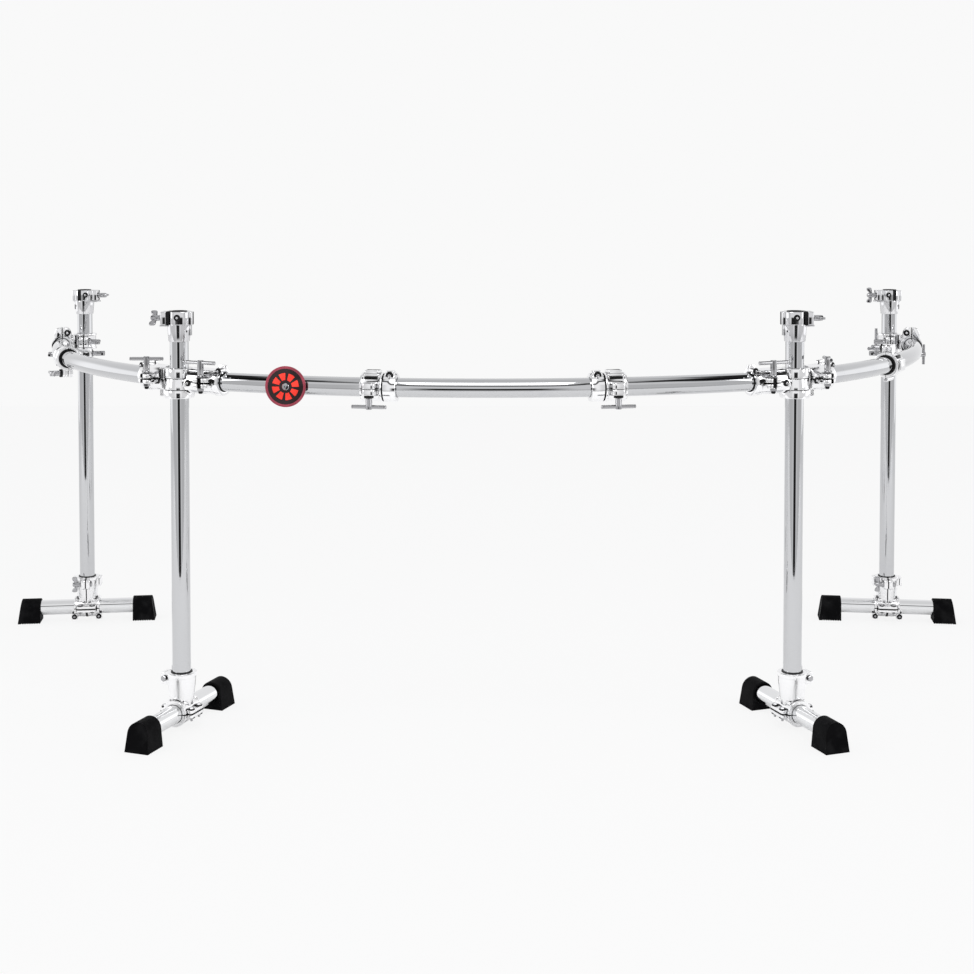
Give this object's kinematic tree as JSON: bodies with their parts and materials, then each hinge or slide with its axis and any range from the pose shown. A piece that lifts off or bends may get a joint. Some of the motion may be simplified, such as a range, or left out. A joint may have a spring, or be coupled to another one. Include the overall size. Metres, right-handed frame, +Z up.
{
  "type": "drum rack frame",
  "caption": "Curved drum rack frame of chromed tube: bowed front bar, hinged side wings, upright posts on T-shaped legs, socket collars, hinged clamps and tee bolts.",
  "frame": {"origin": "on the floor, below the middle of the bounding box of the whole rack at rest", "axes": "+X to the right as the audience sees the rack, +Y away from the audience towards the drummer, +Z up"},
  "size_m": [2.453, 1.0922, 0.8745],
  "materials": {
    "tube_chrome": "mirror chromed drawn tube",
    "cast_chrome": "bright chromed casting, slightly soft reflections",
    "bolt_chrome": "chromed turned steel",
    "rubber_foot": "matt black moulded rubber",
    "badge_face": null
  },
  "bodies": {
    "front_frame": {"front_bar": "tube_chrome", "badge": "badge_face", "front_left_bar_clamp": "cast_chrome", "front_right_bar_clamp": "cast_chrome"},
    "left_wing": {"left_wing_bar": "tube_chrome", "front_left_wing_clamp": "cast_chrome", "rear_left_clamp": "cast_chrome"},
    "front_left_bar_tee_bolt": {"front_left_bar_tee_bolt": "bolt_chrome"},
    "front_left_wing_tee_bolt": {"front_left_wing_tee_bolt": "bolt_chrome"},
    "rear_left_tee_bolt": {"rear_left_tee_bolt": "bolt_chrome"},
    "right_wing": {"right_wing_bar": "tube_chrome", "front_right_wing_clamp": "cast_chrome", "rear_right_clamp": "cast_chrome"},
    "front_right_bar_tee_bolt": {"front_right_bar_tee_bolt": "bolt_chrome"},
    "front_right_wing_tee_bolt": {"front_right_wing_tee_bolt": "bolt_chrome"},
    "rear_right_tee_bolt": {"rear_right_tee_bolt": "bolt_chrome"},
    "front_left_upright": {"front_left_post": "tube_chrome", "front_left_collar": "cast_chrome"},
    "front_left_leg": {"front_left_leg_clamp": "cast_chrome", "front_left_foot_tube": "tube_chrome", "front_left_toe_foot": "rubber_foot", "front_left_heel_foot": "rubber_foot"},
    "front_left_collar_bolt": {"front_left_collar_bolt": "bolt_chrome"},
    "front_left_leg_bolt": {"front_left_leg_bolt": "bolt_chrome"},
    "front_right_upright": {"front_right_post": "tube_chrome", "front_right_collar": "cast_chrome"},
    "front_right_leg": {"front_right_leg_clamp": "cast_chrome", "front_right_foot_tube": "tube_chrome", "front_right_toe_foot": "rubber_foot", "front_right_heel_foot": "rubber_foot"},
    "front_right_collar_bolt": {"front_right_collar_bolt": "bolt_chrome"},
    "front_right_leg_bolt": {"front_right_leg_bolt": "bolt_chrome"},
    "rear_left_upright": {"rear_left_post": "tube_chrome", "rear_left_collar": "cast_chrome"},
    "rear_left_leg": {"rear_left_leg_clamp": "cast_chrome", "rear_left_foot_tube": "tube_chrome", "rear_left_toe_foot": "rubber_foot", "rear_left_heel_foot": "rubber_foot"},
    "rear_left_collar_bolt": {"rear_left_collar_bolt": "bolt_chrome"},
    "rear_left_leg_bolt": {"rear_left_leg_bolt": "bolt_chrome"},
    "rear_right_upright": {"rear_right_post": "tube_chrome", "rear_right_collar": "cast_chrome"},
    "rear_right_leg": {"rear_right_leg_clamp": "cast_chrome", "rear_right_foot_tube": "tube_chrome", "rear_right_toe_foot": "rubber_foot", "rear_right_heel_foot": "rubber_foot"},
    "rear_right_collar_bolt": {"rear_right_collar_bolt": "bolt_chrome"},
    "rear_right_leg_bolt": {"rear_right_leg_bolt": "bolt_chrome"},
    "front_left_inner_clamp": {"front_left_inner_clamp": "cast_chrome"},
    "front_left_inner_jaw": {"front_left_inner_jaw": "cast_chrome"},
    "front_left_inner_tee_bolt": {"front_left_inner_tee_bolt": "bolt_chrome"},
    "front_right_inner_clamp": {"front_right_inner_clamp": "cast_chrome"},
    "front_right_inner_jaw": {"front_right_inner_jaw": "cast_chrome"},
    "front_right_inner_tee_bolt": {"front_right_inner_tee_bolt": "bolt_chrome"},
    "left_wing_multi_clamp": {"left_wing_multi_clamp": "cast_chrome"},
    "left_wing_multi_jaw": {"left_wing_multi_jaw": "cast_chrome"},
    "left_wing_multi_tee_bolt": {"left_wing_multi_tee_bolt": "bolt_chrome"},
    "right_wing_multi_clamp": {"right_wing_multi_clamp": "cast_chrome"},
    "right_wing_multi_jaw": {"right_wing_multi_jaw": "cast_chrome"},
    "right_wing_multi_tee_bolt": {"right_wing_multi_tee_bolt": "bolt_chrome"}
  },
  "joints": [
    {"name": "left_wing_swing", "type": "hinge", "parent": "front_frame", "child": "left_wing", "pos_m": [-0.636, -0.35919, 0.727], "axis": [0, 0, -1], "range_deg": [-30, 45]},
    {"name": "front_left_bar_tee_bolt_turn", "type": "hinge", "parent": "front_frame", "child": "front_left_bar_tee_bolt", "pos_m": [-0.5807, -0.42338, 0.737], "axis": [0, 0, 1], "continuous": true},
    {"name": "front_left_wing_tee_bolt_turn", "type": "hinge", "parent": "left_wing", "child": "front_left_wing_tee_bolt", "pos_m": [-0.70838, -0.33886, 0.737], "axis": [0, 0, 1], "continuous": true},
    {"name": "rear_left_tee_bolt_turn", "type": "hinge", "parent": "left_wing", "child": "rear_left_tee_bolt", "pos_m": [-1.0331, 0.46413, 0.735], "axis": [0.988, 0.1547, 0], "continuous": true},
    {"name": "right_wing_swing", "type": "hinge", "parent": "front_frame", "child": "right_wing", "pos_m": [0.636, -0.35919, 0.727], "axis": [0, 0, 1], "range_deg": [-30, 45]},
    {"name": "front_right_bar_tee_bolt_turn", "type": "hinge", "parent": "front_frame", "child": "front_right_bar_tee_bolt", "pos_m": [0.5807, -0.42338, 0.737], "axis": [0, 0, 1], "continuous": true},
    {"name": "front_right_wing_tee_bolt_turn", "type": "hinge", "parent": "right_wing", "child": "front_right_wing_tee_bolt", "pos_m": [0.70838, -0.33886, 0.737], "axis": [0, 0, 1], "continuous": true},
    {"name": "rear_right_tee_bolt_turn", "type": "hinge", "parent": "right_wing", "child": "rear_right_tee_bolt", "pos_m": [1.0331, 0.46413, 0.735], "axis": [-0.988, 0.1547, 0], "continuous": true},
    {"name": "front_left_height", "type": "slide", "parent": "front_frame", "child": "front_left_upright", "axis": [0, 0, 1], "range_m": [-0.03, 0.5]},
    {"name": "front_left_leg_turn", "type": "hinge", "parent": "front_left_upright", "child": "front_left_leg", "pos_m": [-0.636, -0.35919, 0], "axis": [0, 0, 1], "continuous": true},
    {"name": "front_left_collar_bolt_turn", "type": "hinge", "parent": "front_left_upright", "child": "front_left_collar_bolt", "pos_m": [-0.672, -0.35919, 0.8545], "axis": [-1, 0, 0], "continuous": true},
    {"name": "front_left_leg_bolt_turn", "type": "hinge", "parent": "front_left_leg", "child": "front_left_leg_bolt", "pos_m": [-0.66513, -0.33688, 0.102], "axis": [0.342, 0.9397, 0], "continuous": true},
    {"name": "front_right_height", "type": "slide", "parent": "front_frame", "child": "front_right_upright", "axis": [0, 0, 1], "range_m": [-0.03, 0.5]},
    {"name": "front_right_leg_turn", "type": "hinge", "parent": "front_right_upright", "child": "front_right_leg", "pos_m": [0.636, -0.35919, 0], "axis": [0, 0, 1], "continuous": true},
    {"name": "front_right_collar_bolt_turn", "type": "hinge", "parent": "front_right_upright", "child": "front_right_collar_bolt", "pos_m": [0.672, -0.35919, 0.8545], "axis": [1, 0, 0], "continuous": true},
    {"name": "front_right_leg_bolt_turn", "type": "hinge", "parent": "front_right_leg", "child": "front_right_leg_bolt", "pos_m": [0.66513, -0.33688, 0.102], "axis": [-0.342, 0.9397, 0], "continuous": true},
    {"name": "rear_left_height", "type": "slide", "parent": "left_wing", "child": "rear_left_upright", "axis": [0, 0, 1], "range_m": [-0.03, 0.5]},
    {"name": "rear_left_leg_turn", "type": "hinge", "parent": "rear_left_upright", "child": "rear_left_leg", "pos_m": [-1.04953, 0.498, 0], "axis": [0, 0, 1], "continuous": true},
    {"name": "rear_left_collar_bolt_turn", "type": "hinge", "parent": "rear_left_upright", "child": "rear_left_collar_bolt", "pos_m": [-1.01353, 0.498, 0.8545], "axis": [1, 0, 0], "continuous": true},
    {"name": "rear_left_leg_bolt_turn", "type": "hinge", "parent": "rear_left_leg", "child": "rear_left_leg_bolt", "pos_m": [-1.05618, 0.46192, 0.102], "axis": [-0.9925, -0.1219, 0], "continuous": true},
    {"name": "rear_right_height", "type": "slide", "parent": "right_wing", "child": "rear_right_upright", "axis": [0, 0, 1], "range_m": [-0.03, 0.5]},
    {"name": "rear_right_leg_turn", "type": "hinge", "parent": "rear_right_upright", "child": "rear_right_leg", "pos_m": [1.04953, 0.498, 0], "axis": [0, 0, 1], "continuous": true},
    {"name": "rear_right_collar_bolt_turn", "type": "hinge", "parent": "rear_right_upright", "child": "rear_right_collar_bolt", "pos_m": [1.01353, 0.498, 0.8545], "axis": [-1, 0, 0], "continuous": true},
    {"name": "rear_right_leg_bolt_turn", "type": "hinge", "parent": "rear_right_leg", "child": "rear_right_leg_bolt", "pos_m": [1.03435, 0.4646, 0.102], "axis": [-0.9925, 0.1219, 0], "continuous": true},
    {"name": "front_left_inner_slide", "type": "hinge", "parent": "front_frame", "child": "front_left_inner_clamp", "pos_m": [0, 0.78041, 0.727], "axis": [0, 0, -1], "range_deg": [0, 4.2]},
    {"name": "front_left_inner_jaw_swing", "type": "hinge", "parent": "front_left_inner_clamp", "child": "front_left_inner_jaw", "pos_m": [-0.21929, -0.46745, 0.727], "axis": [0.9849, -0.1731, 0], "range_deg": [0, 75]},
    {"name": "front_left_inner_tee_bolt_turn", "type": "hinge", "parent": "front_left_inner_jaw", "child": "front_left_inner_tee_bolt", "pos_m": [-0.23123, -0.53541, 0.715], "axis": [0, 0, -1], "continuous": true},
    {"name": "front_right_inner_slide", "type": "hinge", "parent": "front_frame", "child": "front_right_inner_clamp", "pos_m": [0, 0.78041, 0.727], "axis": [0, 0, 1], "range_deg": [0, 11.3]},
    {"name": "front_right_inner_jaw_swing", "type": "hinge", "parent": "front_right_inner_clamp", "child": "front_right_inner_jaw", "pos_m": [0.24463, -0.46273, 0.727], "axis": [0.9812, 0.1931, 0], "range_deg": [0, 75]},
    {"name": "front_right_inner_tee_bolt_turn", "type": "hinge", "parent": "front_right_inner_jaw", "child": "front_right_inner_tee_bolt", "pos_m": [0.25795, -0.53043, 0.715], "axis": [0, 0, -1], "continuous": true},
    {"name": "left_wing_multi_slide", "type": "hinge", "parent": "left_wing", "child": "left_wing_multi_clamp", "pos_m": [0.18964, 0.65153, 0.727], "axis": [0, 0, 1], "range_deg": [-13, 19.8]},
    {"name": "left_wing_multi_jaw_swing", "type": "hinge", "parent": "left_wing_multi_clamp", "child": "left_wing_multi_jaw", "pos_m": [-0.99496, 0.11606, 0.76], "axis": [-0.4119, 0.9112, 0], "range_deg": [0, 75]},
    {"name": "left_wing_multi_tee_bolt_turn", "type": "hinge", "parent": "left_wing_multi_jaw", "child": "left_wing_multi_tee_bolt", "pos_m": [-1.0059, 0.11111, 0.691], "axis": [-0.9112, -0.4119, 0], "continuous": true},
    {"name": "right_wing_multi_slide", "type": "hinge", "parent": "right_wing", "child": "right_wing_multi_clamp", "pos_m": [-0.18964, 0.65153, 0.727], "axis": [0, 0, -1], "range_deg": [-20.6, 12]},
    {"name": "right_wing_multi_jaw_swing", "type": "hinge", "parent": "right_wing_multi_clamp", "child": "right_wing_multi_jaw", "pos_m": [0.91238, -0.03808, 0.694], "axis": [-0.5305, -0.8477, 0], "range_deg": [0, 75]},
    {"name": "right_wing_multi_tee_bolt_turn", "type": "hinge", "parent": "right_wing_multi_jaw", "child": "right_wing_multi_tee_bolt", "pos_m": [0.90221, -0.03172, 0.763], "axis": [-0.8477, 0.5305, 0], "continuous": true}
  ],
  "couplings": [
    {"joint": "front_right_height", "follows": "front_left_height", "ratio": 1},
    {"joint": "rear_left_height", "follows": "front_left_height", "ratio": 1},
    {"joint": "rear_right_height", "follows": "front_left_height", "ratio": 1}
  ]
}
